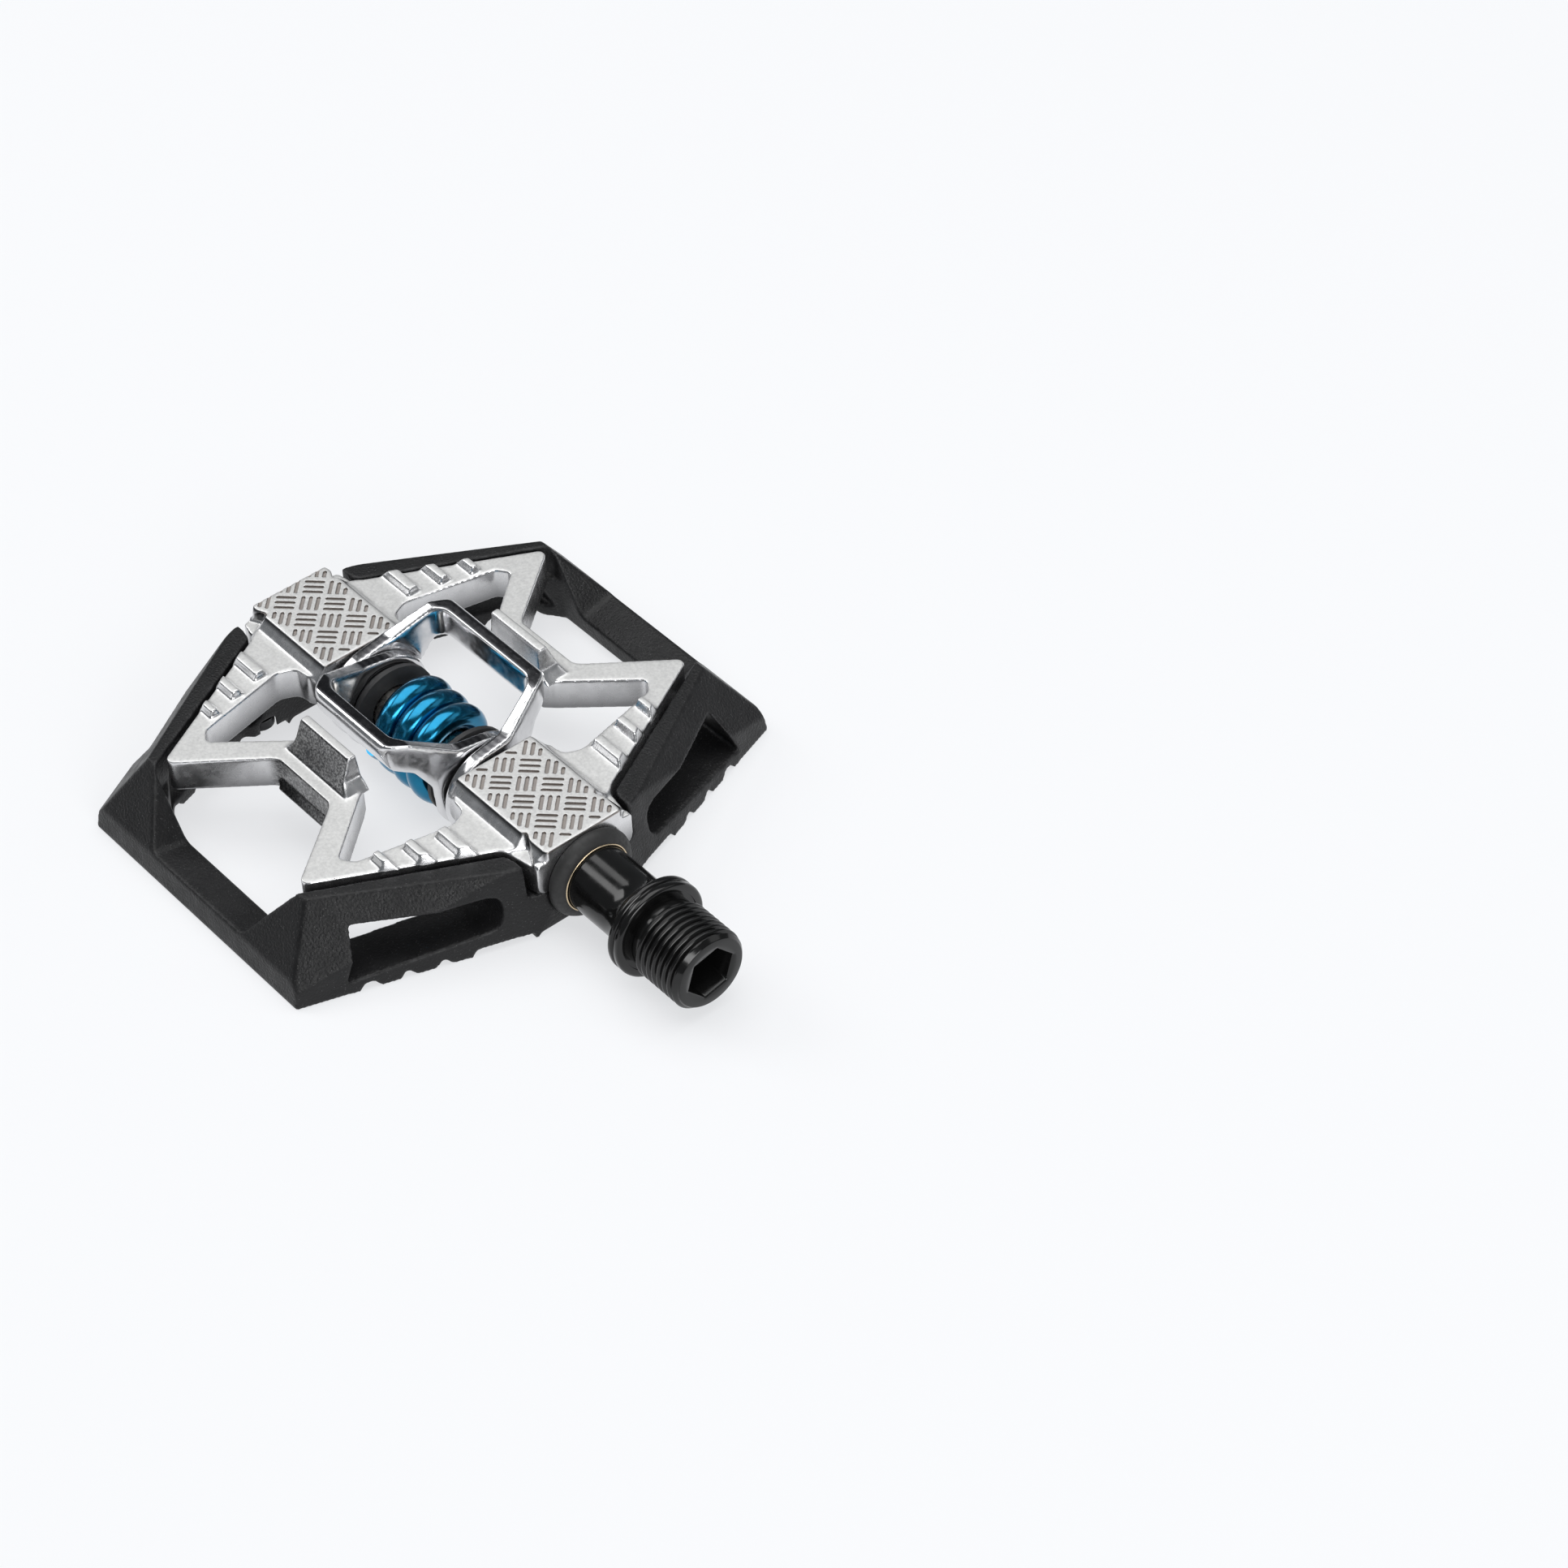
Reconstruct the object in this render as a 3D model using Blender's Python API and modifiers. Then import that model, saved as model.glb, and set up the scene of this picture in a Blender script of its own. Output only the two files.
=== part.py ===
"""A clipless bicycle pedal with a clip on its top side and a flat platform below.

The pedal lies on its flat side. +X runs along the spindle to the crank, +Y and -Y are the fore and
aft edges and +Z is the clip side. Every length below is in millimetres, and the helpers turn it into
metres. The body is alike in its four quadrants, so most outlines are given for x > 0, y > 0 only.
"""

import math

import bmesh
import bpy
from mathutils import Matrix, Vector

MM = 0.001
GAP = 0.3

# Driving dimensions.
AXIS_Z = 9.0
HALF_LENGTH_Y = 48.8
CAGE_TOP = 14.7
ARM_TOP = 15.2
ARM_BOTTOM = 8.9
PAD_TOP = 17.4
LIP_TOP = 21.4
RIB_TOP = 16.7
WING_TOP = 22.8
CRANK_FACE_X = 41.5
CAP_FACE_X = -38.9
PAD_INNER_X = 18.0
THREAD_RADIUS = 14.29 / 2
THREAD_PITCH = 25.4 / 20
SPINDLE_END_X = 72.6
CAGE_END_X = -40.5
CENTRE_X = (SPINDLE_END_X + CAGE_END_X) / 2
HEX_KEY = 8.0
HUB_RADIUS = 6.7
TUBE_RADIUS = 4.3
PIVOT_RADIUS = 6.6
RING_RADIUS = 8.7

# A corner block: its strip's outer line, its lower side line, and how far each leans out per mm down.
STRIP_DIRECTION = Vector((0.857, 0.515))
STRIP_OUTER = 39.7
STRIP_LEAN = 0.79
SIDE_DIRECTION = Vector((0.947, 0.321))
SIDE_OUTER = 42.4
SIDE_LEAN = 0.12

# Traction ribs on each arm: inner x, outer x, low y, high y.
ARM_RIBS = ((24.9, 32.6, 14.4, 17.3), (23.6, 29.4, 20.2, 22.8), (22.2, 27.0, 25.7, 28.0))
SCREW_XY = (29.6, 14.6)


def fresh_collections():
    for thing in list(bpy.data.objects):
        bpy.data.objects.remove(thing)
    made = []
    for name in ("clipless_pedal", "cutters"):
        made.append(bpy.data.collections.new(name))
        bpy.context.scene.collection.children.link(made[-1])
    made[1].hide_render = True
    return made


PARTS, CUTTERS = fresh_collections()


def material(name, colour, metallic, roughness):
    made = bpy.data.materials.new(name)
    made.use_nodes = True
    shader = made.node_tree.nodes["Principled BSDF"]
    shader.inputs["Base Color"].default_value = (*colour, 1)
    shader.inputs["Metallic"].default_value = metallic
    shader.inputs["Roughness"].default_value = roughness
    return made


def place(name, mesh, collection=CUTTERS):
    thing = bpy.data.objects.new(name, mesh)
    collection.objects.link(thing)
    if collection is CUTTERS:
        thing.hide_render = True
        thing.display_type = "WIRE"
    return thing


def finish(thing, name, colour, metallic, roughness, smooth_angle=35):
    """Names a piece, gives it its own material and moves it in among the parts."""
    thing.name = name
    thing.data.name = name
    thing.data.materials.clear()
    thing.data.materials.append(material(name, colour, metallic, roughness))
    if thing.name not in PARTS.objects:
        CUTTERS.objects.unlink(thing)
        PARTS.objects.link(thing)
    thing.hide_render = False
    thing.display_type = "TEXTURED"
    thing.data.shade_smooth()
    thing.data.set_sharp_from_angle(angle=math.radians(smooth_angle))
    return thing


def frozen(thing):
    """The evaluated mesh of an object in world space, as a new object that takes its place."""
    bpy.context.view_layer.update()
    graph = bpy.context.evaluated_depsgraph_get()
    mesh = bpy.data.meshes.new_from_object(thing.evaluated_get(graph))
    mesh.transform(thing.matrix_world)
    shape = bmesh.new()
    shape.from_mesh(mesh)
    bmesh.ops.remove_doubles(shape, verts=shape.verts, dist=0.002 * MM)
    bmesh.ops.recalc_face_normals(shape, faces=shape.faces)
    shape.to_mesh(mesh)
    shape.free()
    name = thing.name
    collection = thing.users_collection[0]
    bpy.data.objects.remove(thing)
    return place(name, mesh, collection)


def boolean(thing, others, operation):
    for other in others:
        step = thing.modifiers.new(f"{operation} {other.name}", "BOOLEAN")
        step.operation = operation
        step.solver = "EXACT"
        step.object = other
    return thing


def rounded(corners, segments=4):
    """A closed outline from (x, y) or (x, y, radius) corners."""
    outline = []
    for index, corner in enumerate(corners):
        here = Vector(corner[:2])
        radius = corner[2] if len(corner) > 2 else 0
        if not radius:
            outline.append(here)
            continue
        before = (Vector(corners[index - 1][:2]) - here).normalized()
        after = (Vector(corners[(index + 1) % len(corners)][:2]) - here).normalized()
        half = before.angle(after) / 2
        start = here + before * radius / math.tan(half)
        centre = here + (before + after).normalized() * radius / math.sin(half)
        sweep = (start - centre).angle_signed(here + after * radius / math.tan(half) - centre)
        for step in range(segments + 1):
            turn = Matrix.Rotation(-sweep * step / segments, 2)
            outline.append(centre + turn @ (start - centre))
    return outline


def four_fold(quadrant):
    """Mirrors the corners of the x > 0, y > 0 quadrant, listed anticlockwise, into all four."""
    half = quadrant + [(-c[0], *c[1:]) for c in reversed(quadrant)]
    return half + [(c[0], -c[1], *c[2:]) for c in reversed(half)]


def prism(name, corners, low, high, axis="Z"):
    """A flat outline pushed from low to high along an axis. Its corners are (x, y), (y, z) or (x, z)."""
    curve = bpy.data.curves.new(name, "CURVE")
    curve.dimensions = "2D"
    curve.fill_mode = "BOTH"
    curve.extrude = (high - low) / 2 * MM
    points = rounded(corners)
    spline = curve.splines.new("POLY")
    spline.points.add(len(points) - 1)
    for spot, point in zip(spline.points, points):
        spot.co = (point.x * MM, point.y * MM, 0, 1)
    spline.use_cyclic_u = True
    thing = place(name, curve)
    turn = {
        "Z": Matrix.Identity(4),
        "X": Matrix(((0, 0, 1, 0), (1, 0, 0, 0), (0, 1, 0, 0), (0, 0, 0, 1))),
        "Y": Matrix(((1, 0, 0, 0), (0, 0, -1, 0), (0, 1, 0, 0), (0, 0, 0, 1))),
    }[axis]
    middle = (low + high) / 2 * MM
    thing.matrix_world = turn @ Matrix.Translation((0, 0, -middle if axis == "Y" else middle))
    return frozen(thing)


def mirrored(thing, name, sign_x, sign_y):
    mesh = thing.data.copy()
    mesh.transform(Matrix.Diagonal((sign_x, sign_y, 1, 1)))
    if sign_x * sign_y < 0:
        mesh.flip_normals()
    return place(name, mesh)


def four_copies(make, name):
    """One shape in each quadrant. The first is made, and the other three are its mirror images."""
    first = make(f"{name}_1")
    others = [mirrored(first, f"{name}_{i}", *s) for i, s in ((2, (-1, 1)), (3, (-1, -1)), (4, (1, -1)))]
    return [first] + others


def turned(name, profile, steps=32, closed=False, face_x=1):
    """A shape turned about the spindle axis. Its profile is (radius, x), from the crank end down."""
    mesh = bpy.data.meshes.new(name)
    points = [(radius * MM, 0, along * MM * face_x) for radius, along in profile]
    if face_x < 0:
        points.reverse()
    edges = [(i, i + 1) for i in range(len(points) - 1)]
    if closed:
        edges.append((len(points) - 1, 0))
    mesh.from_pydata(points, edges, [])
    thing = place(name, mesh)
    screw = thing.modifiers.new("Turn", "SCREW")
    screw.axis = "Z"
    screw.steps = steps
    screw.render_steps = steps
    screw.use_merge_vertices = True
    screw.merge_threshold = 0.002 * MM
    screw.use_smooth_shade = True
    thing.matrix_world = Matrix.Translation((0, 0, AXIS_Z * MM)) @ Matrix.Rotation(math.pi / 2, 4, "Y")
    return frozen(thing)


def tube(name, outer, inner, low, high, steps=32):
    profile = [(outer, high), (outer, low), (inner, low), (inner, high)]
    return turned(name, profile, steps=steps, closed=True)


def rod(name, radius, low, high, steps=32):
    return turned(name, [(0, high), (radius, high), (radius, low), (0, low)], steps=steps)


def axis_origin(thing):
    """Puts an object's origin on the spindle axis, without moving its shape."""
    centre = Vector((0, 0, AXIS_Z * MM))
    thing.data.transform(Matrix.Translation(-centre))
    thing.location = centre
    return thing


def clipped_block(name, size, middle, planes):
    """A box with the part beyond each plane cut off. A plane is (normal, distance from the origin)."""
    shape = bmesh.new()
    bmesh.ops.create_cube(shape, size=1)
    bmesh.ops.scale(shape, vec=Vector(size) * MM, verts=shape.verts)
    bmesh.ops.translate(shape, vec=Vector(middle) * MM, verts=shape.verts)
    for normal, distance in planes:
        unit = Vector(normal).normalized()
        point = unit * distance / Vector(normal).length * MM
        geometry = shape.verts[:] + shape.edges[:] + shape.faces[:]
        cut = bmesh.ops.bisect_plane(shape, geom=geometry, plane_co=point, plane_no=unit, clear_outer=True)
        rim = [part for part in cut["geom_cut"] if isinstance(part, bmesh.types.BMEdge)]
        if rim:
            bmesh.ops.edgenet_fill(shape, edges=rim)
    bmesh.ops.recalc_face_normals(shape, faces=shape.faces)
    mesh = bpy.data.meshes.new(name)
    shape.to_mesh(mesh)
    shape.free()
    return place(name, mesh)


def cage_envelope():
    """The outside of the cage: a long hexagon with leaning sides, chamfered to its top strips."""
    planes = [((1, 0, 0), CRANK_FACE_X), ((-1, 0, 0), -CAGE_END_X)]
    for sign_y in (1, -1):
        planes.append(((0, sign_y, 0.2), HALF_LENGTH_Y))
        planes.append(((0, sign_y, 0.71), HALF_LENGTH_Y - 0.9 + 0.71 * 4.5))
        for sign_x in (1, -1):
            strip = (STRIP_DIRECTION.x * sign_x, STRIP_DIRECTION.y * sign_y, STRIP_LEAN)
            planes.append((strip, STRIP_OUTER + STRIP_LEAN * CAGE_TOP))
            side = (SIDE_DIRECTION.x * sign_x, SIDE_DIRECTION.y * sign_y, SIDE_LEAN)
            planes.append((side, SIDE_OUTER))
    size = (100, 120, CAGE_TOP)
    return clipped_block("cage", size, (0, 0, CAGE_TOP / 2), planes)


def lower_opening():
    quadrant = [(27.0, 17.5), (28.4, 18.6, 1), (22.0, 37.3, 2), (16.8, 41.0, 2)]
    return prism("lower_opening", four_fold(quadrant), -2, ARM_BOTTOM)


def chassis_pocket():
    quadrant = [(50, 10.0), (35.4, 10.9, 2.0), (34.6, 12.2, 1.5), (20.0, 40.3, 1), (19.2, 41.0)]
    return prism("chassis_pocket", four_fold(quadrant), ARM_BOTTOM - GAP, 30)


def edge_notch(name, sign):
    """The low part of a fore or aft edge, between two corner blocks."""
    section = [(-12.4, 0, 2.0), (12.4, 0, 2.0), (25.6, 20), (-25.6, 20)]
    notch = prism(name, section, -9, 12, axis="Y")
    tilt = Matrix.Rotation(math.radians(14), 4, "X")
    notch.data.transform(Matrix.Translation((0, 44 * MM, 3.9 * MM)) @ tilt)
    if sign < 0:
        notch.data.transform(Matrix.Rotation(math.pi, 4, "Z"))
    return notch


def side_window(name):
    outline = [(36.8, 10.6), (40.2, 2.3), (15.0, 4.2, 2.6), (14.6, 10.5, 2.2)]
    return prism(name, outline, 16, 52, axis="X")


def underside_comb(name):
    """Clears the underside between the traction ribs of one corner block."""
    top = 1.2
    corners = [(10.6, -1), (10.6, top)]
    for middle in (22.3, 28.0, 33.6):
        corners += [(middle - 2.6, top), (middle - 1.6, 0), (middle + 1.6, 0), (middle + 2.6, top)]
    corners += [(37.4, top), (38.6, 0), (38.6, -1)]
    return prism(name, corners, 18, 60, axis="X")


def screw_hole(name):
    return cylinder(name, 1.55, -1, 9.2, SCREW_XY)


def cylinder(name, radius, low, high, middle, sides=24):
    shape = bmesh.new()
    ends = {"radius1": radius * MM, "radius2": radius * MM, "depth": (high - low) * MM}
    bmesh.ops.create_cone(shape, cap_ends=True, segments=sides, **ends)
    bmesh.ops.translate(shape, vec=Vector((*middle, (low + high) / 2)) * MM, verts=shape.verts)
    mesh = bpy.data.meshes.new(name)
    shape.to_mesh(mesh)
    shape.free()
    return place(name, mesh)


def polygon(sides, turn=0.0):
    """The corners of a regular polygon with a radius of 1. turn is in degrees."""
    angles = [math.radians(360 * corner / sides + turn) for corner in range(sides)]
    return [(math.cos(angle), math.sin(angle)) for angle in angles]


def cap_outline(grow=0.0):
    """The rounded-end outline of the end cap, in (y, z)."""
    wide = 7.4 + grow
    tall = 4.1 + grow
    low = 8.3 - tall
    high = 8.3 + tall
    corner = tall * 0.9
    return [(-wide, low, corner), (wide, low, corner), (wide, high, corner), (-wide, high, corner)]


def cage():
    cage_body = cage_envelope()
    end_relief = prism("end_relief", [(-11.8, -1), (11.8, -1), (11.8, 20), (-11.8, 20)], -60, CAP_FACE_X, "X")
    end_floors = [
        prism("end_floor_crank", [(-11, -1), (11, -1), (9.6, 0.9), (-9.6, 0.9)], 26, 60, "X"),
        prism("end_floor_cap", [(-11, -1), (11, -1), (9.6, 0.9), (-9.6, 0.9)], -60, -26, "X"),
    ]
    cutters = [lower_opening(), chassis_pocket(), edge_notch("notch_fore", -1), edge_notch("notch_aft", 1)]
    cutters += four_copies(side_window, "side_window")
    cutters += four_copies(underside_comb, "underside_comb")
    cutters += four_copies(screw_hole, "screw_hole")
    cutters += four_copies(lambda name: cylinder(name, 2.9, -1, 3.6, SCREW_XY), "screw_head_hole")
    cutters += [end_relief, *end_floors]
    cutters.append(rod("hub_clearance", HUB_RADIUS + GAP, -60, 60))
    cutters.append(prism("cap_recess_cage", cap_outline(GAP), -60, CAP_FACE_X + 1.8, "X"))
    cutters.append(rod("seal_recess_cage", 8.1, CRANK_FACE_X - 0.4, 60))
    boolean(cage_body, cutters, "DIFFERENCE")
    return finish(frozen(cage_body), "cage", (0.02, 0.02, 0.022), 0.0, 0.5)


def arm_plate():
    outer = [(CRANK_FACE_X - 0.5, 9.4), (35.2, 10.4, 2.0), (33.9, 11.6, 1.5)]
    outer += [(18.9, 39.8, 1.2), (7.8, 25.8, 3.0), (6.6, 25.0)]
    plate = prism("arm_plate", four_fold(outer), ARM_BOTTOM, ARM_TOP)
    star = [(PAD_INNER_X + 1, 9.0), (20.0, 9.9, 1.0), (22.9, 10.2, 1.8), (24.3, 13.2, 2.4)]
    star += [(20.7, 29.8, 1.4), (18.3, 31.4, 0.8), (8.4, 19.8, 1.5), (7.0, 18.4, 1.0)]
    trim_x = CAP_FACE_X + 0.5
    trim = prism("cap_end_trim", [(-80, -20), (trim_x, -20), (trim_x, 20), (-80, 20)], -5, 40)
    hole = prism("star_opening", four_fold(star), 0, 30)
    return frozen(boolean(plate, [hole, trim], "DIFFERENCE"))


def pad(name, low, high):
    """A raised pad over the spindle, with sloping flanks, rounded ends and a squared boss below it."""
    flank = [(9.6, ARM_TOP - 0.5), (7.4, PAD_TOP, 0.3), (-7.4, PAD_TOP, 0.3), (-9.6, ARM_TOP - 0.5)]
    boss = [(-9.6, ARM_BOTTOM, 1.8), (9.6, ARM_BOTTOM, 1.8)]
    block = prism(name, flank + boss, low, high, "X")
    outer = high if high > 0 else low
    sign = 1 if high > 0 else -1
    for side in (1, -1):
        corner = [(outer + sign, 6.0 * side), (outer - 2.6 * sign, 10.4 * side), (outer + sign, 10.4 * side)]
        boolean(block, [prism(f"{name}_corner", corner, ARM_TOP + 0.1, 30)], "DIFFERENCE")
    return frozen(block)


def edge_lip(name, sign):
    """An upturned lip at the root of a fore or aft notch, which guides the cleat in."""
    section = [(26.2, ARM_BOTTOM), (22.4, 16.0, 6.0), (20.2, LIP_TOP, 0.4), (18.6, LIP_TOP, 0.4)]
    section += [(18.2, 16.0), (18.2, ARM_BOTTOM)]
    lip = prism(name, section, -10, 10, "X")
    front = [(6.9, 0), (6.9, 14.6), (8.9, 14.8), (6.8, 17.0, 2.0), (6.3, 25)]
    outline = front + [(-x, *rest) for x, *rest in reversed(front)]
    lip = frozen(boolean(lip, [prism(f"{name}_front", outline, 10, 30, "Y")], "INTERSECT"))
    if sign < 0:
        lip.data.transform(Matrix.Rotation(math.pi, 4, "Z"))
    return lip


def arm_rib(name, box):
    inner, outer, low, high = box
    section = [(low, ARM_TOP - 0.5), (low, ARM_TOP), (low + 0.7, RIB_TOP), (high - 0.6, RIB_TOP)]
    section += [(high, ARM_TOP), (high, ARM_TOP - 0.5)]
    return prism(name, section, inner, outer, "X")


def rib_trimmer(name):
    """Slopes the outer ends of the ribs back from the line of the arm's edge."""
    start = Vector((34.5, 10.8))
    end = Vector((18.4, 41.0))
    along = (end - start).normalized()
    out = Vector((along.y, -along.x))
    near = [start - along * 4, end + along * 4]
    corners = near + [corner + out * 12 for corner in reversed(near)]
    trimmer = prism(name, [tuple(corner) for corner in corners], ARM_TOP - 0.6, 20)
    lift = Matrix.Translation((0, 0, ARM_TOP * MM))
    trimmer.data.transform(lift @ Matrix.Shear("XY", 4, (-out.x * 0.5, -out.y * 0.5)) @ lift.inverted())
    return trimmer


def chassis():
    body = arm_plate()
    joined = [pad("pad_crank", PAD_INNER_X, CRANK_FACE_X), pad("pad_cap", CAP_FACE_X, -PAD_INNER_X)]
    joined.append(rod("hub_crank", HUB_RADIUS, PAD_INNER_X + 0.3, CRANK_FACE_X - 0.3))
    joined.append(rod("hub_cap", HUB_RADIUS, CAP_FACE_X + 0.3, -PAD_INNER_X - 0.3))
    joined += [edge_lip("lip_aft", 1), edge_lip("lip_fore", -1)]
    for number, box in enumerate(ARM_RIBS):
        joined += four_copies(lambda name: arm_rib(name, box), f"arm_rib_{number}")
    body = frozen(boolean(body, joined, "UNION"))
    cutters = four_copies(rib_trimmer, "rib_trimmer")
    cutters.append(rod("bush_seat", 6.0, 25, 60))
    cutters.append(rod("bearing_seat", 6.0, -60, -28.2))
    cutters.append(rod("tube_bore", TUBE_RADIUS + GAP, -50, 50))
    cutters += four_copies(lambda name: cylinder(name, 1.55, 0, 13.4, SCREW_XY), "screw_seat")
    body = frozen(boolean(body, cutters, "DIFFERENCE"))
    boolean(body, [prism("cap_recess_chassis", cap_outline(GAP), -60, CAP_FACE_X + 1.8, "X")], "DIFFERENCE")
    return finish(frozen(body), "chassis", (0.75, 0.75, 0.76), 1.0, 0.3)


def wing(name, ring_low, ring_high, side, corner_x):
    """A sprung wing: a ring at each end, an arm rising from each and a bar across them.

    side is the sign of y on which its bar lies.
    """
    section = []
    for step in range(29):
        angle = math.radians(-20 - 240 * step / 28)
        section.append((RING_RADIUS * math.cos(angle), AXIS_Z + RING_RADIUS * math.sin(angle)))
    section += [(4.0, AXIS_Z + RING_RADIUS + 0.9), (11.6, WING_TOP - 0.2, 2.0), (15.0, WING_TOP, 0.5)]
    section += [(15.8, WING_TOP - 1.4), (14.6, 17.6, 0.8), (11.4, 16.4, 2.0), (8.6, 12.0, 1.5)]
    block = prism(f"{name}_block", section, -ring_high, ring_high, "X")
    inside = [(ring_low, -12), (ring_low, 3.0, 3.0), (corner_x - 2.4, 12.6, 2.8)]
    inside += [(-(corner_x - 2.4), 12.6, 2.8), (-ring_low, 3.0, 3.0), (-ring_low, -12)]
    window = prism(f"{name}_window", inside, -5, 40)
    outside = [(ring_high + 9, -20), (ring_high, -20), (ring_high, 4.0, 4.0), (corner_x, 12.0, 4.0)]
    outside += [(corner_x - 2.2, 15.85, 4.0), (3.0, 15.85), (3.0, 20), (ring_high + 9, 20)]
    trims = [prism(f"{name}_trim_1", outside, -5, 40)]
    trims.append(mirrored(trims[0], f"{name}_trim_2", -1, 1))
    bore = rod(f"{name}_bore", PIVOT_RADIUS + GAP, -40, 40, steps=40)
    clear = rod(f"{name}_clear", RING_RADIUS + GAP, GAP - ring_low, ring_low - GAP, steps=40)
    boolean(block, [window, *trims, bore, clear], "DIFFERENCE")
    block = frozen(block)
    if side < 0:
        block.data.transform(Matrix.Rotation(math.pi, 4, "Z"))
    return axis_origin(finish(block, name, (0.6, 0.6, 0.61), 1.0, 0.15))


def torsion_spring():
    wire = 2.18
    radius = 6.6
    turns = 3.35
    half = 7.5
    per_turn = 24
    count = int(turns * per_turn)
    curve = bpy.data.curves.new("torsion_spring", "CURVE")
    curve.dimensions = "3D"
    curve.bevel_depth = wire * MM
    curve.bevel_resolution = 2
    curve.use_fill_caps = True
    spline = curve.splines.new("POLY")
    spline.points.add(count)
    for index, spot in enumerate(spline.points):
        part = index / count
        angle = 2 * math.pi * turns * (part - 0.5) + math.pi / 2
        x = -half + 2 * half * part
        spot.co = (x * MM, radius * math.cos(angle) * MM, (AXIS_Z + radius * math.sin(angle)) * MM, 1)
    coil = frozen(place("torsion_spring", curve))
    return axis_origin(finish(coil, "torsion_spring", (0.0, 0.2, 0.45), 1.0, 0.2))


def pivot_sleeve(name, face):
    """A flanged sleeve: its collar seats the spring and its plain part carries the wing rings."""
    profile = [(PIVOT_RADIUS, 17.6), (PIVOT_RADIUS, 11.7), (7.3, 11.7), (7.3, 11.0), (8.1, 10.8), (8.1, 9.9)]
    profile += [(TUBE_RADIUS + GAP, 9.9), (TUBE_RADIUS + GAP, 17.6)]
    return finish(turned(name, profile, closed=True, face_x=face), name, (0.03, 0.03, 0.03), 0.0, 0.5)


def thread_profile(first, count):
    """Crests and roots of the crank thread, from the outer end down."""
    points = []
    root = THREAD_RADIUS - 0.62
    for number in range(count):
        start = first - number * THREAD_PITCH
        points += [(THREAD_RADIUS, start), (THREAD_RADIUS, start - 0.3), (root, start - 0.8)]
    return points


def spindle():
    crests = 8
    first = SPINDLE_END_X - 1.0
    thread_end = first - crests * THREAD_PITCH
    profile = [(0, SPINDLE_END_X), (5.9, SPINDLE_END_X), (6.45, SPINDLE_END_X - 0.5)]
    profile += thread_profile(first, crests)
    profile += [(6.3, thread_end), (6.3, 60.1), (7.3, 60.1), (7.3, 60.3), (8.3, 60.3), (8.7, 59.9)]
    profile += [(8.7, 59.1), (8.35, 58.9), (8.35, 58.6)]
    profile += [(8.7, 58.4), (8.7, 57.7), (8.3, 57.3)]
    for step in range(1, 7):
        angle = math.radians(15 * step)
        profile.append((8.3 - 2.35 * math.sin(angle), 57.3 - 4.2 * (1 - math.cos(angle))))
    profile += [(5.95, 41.6), (5.0, 41.3), (5.0, 25.2), (3.3, 24.4), (3.3, -27.9), (2.8, -27.9), (2.8, -32.6)]
    profile += [(1.9, -32.6), (1.9, -36.0), (0, -36.0)]
    body = turned("spindle", profile, steps=40)
    reach = HEX_KEY / math.sqrt(3)
    hexagon = [(reach * y, AXIS_Z + reach * z) for y, z in polygon(6, 12)]
    socket = prism("hex_socket", hexagon, SPINDLE_END_X - 8.5, SPINDLE_END_X + 5, "X")
    body = frozen(boolean(body, [socket], "DIFFERENCE"))
    return axis_origin(finish(body, "spindle", (0.015, 0.015, 0.016), 1.0, 0.2))


def seals():
    lip = [(7.0, 43.5), (7.7, 43.1), (7.8, 42.4), (7.8, 41.7), (6.25, 41.7), (6.25, 43.5)]
    ring = turned("crank_side_seal", lip, closed=True, steps=40)
    finish(ring, "crank_side_seal", (0.02, 0.02, 0.02), 0.0, 0.6)
    shield = tube("seal_shield", 6.8, 6.25, 43.8, 44.2)
    finish(shield, "seal_shield", (0.7, 0.68, 0.62), 1.0, 0.3)
    section = [(5.55 + 0.4 * x, 0.4 * y - 36.8) for x, y in reversed(polygon(8))]
    o_ring = turned("end_cap_o_ring", section, closed=True, steps=32)
    finish(o_ring, "end_cap_o_ring", (0.02, 0.02, 0.02), 0.0, 0.6)


def end_cap():
    plate = prism("end_cap", cap_outline(), CAP_FACE_X - 0.4, CAP_FACE_X + 1.5, "X")
    edge = plate.modifiers.new("Edge", "BEVEL")
    edge.width = 0.35 * MM
    edge.segments = 2
    edge.limit_method = "ANGLE"
    plate = frozen(plate)
    plug = turned(
        "cap_plug",
        [(0, -36.4), (4.6, -36.4), (4.6, -37.2), (5.6, -37.2), (5.6, -37.8), (0, -37.8)],
        steps=32,
    )
    panel = [(-5.4, 6.8, 1.4), (5.4, 6.8, 1.4), (5.4, 9.8, 1.4), (-5.4, 9.8, 1.4)]
    dish = prism("cap_panel", panel, CAP_FACE_X - 2, CAP_FACE_X - 0.1, "X")
    plate = frozen(boolean(plate, [plug], "UNION"))
    plate = frozen(boolean(plate, [dish], "DIFFERENCE"))
    return finish(plate, "end_cap", (0.8, 0.8, 0.81), 0.6, 0.35)


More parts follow.
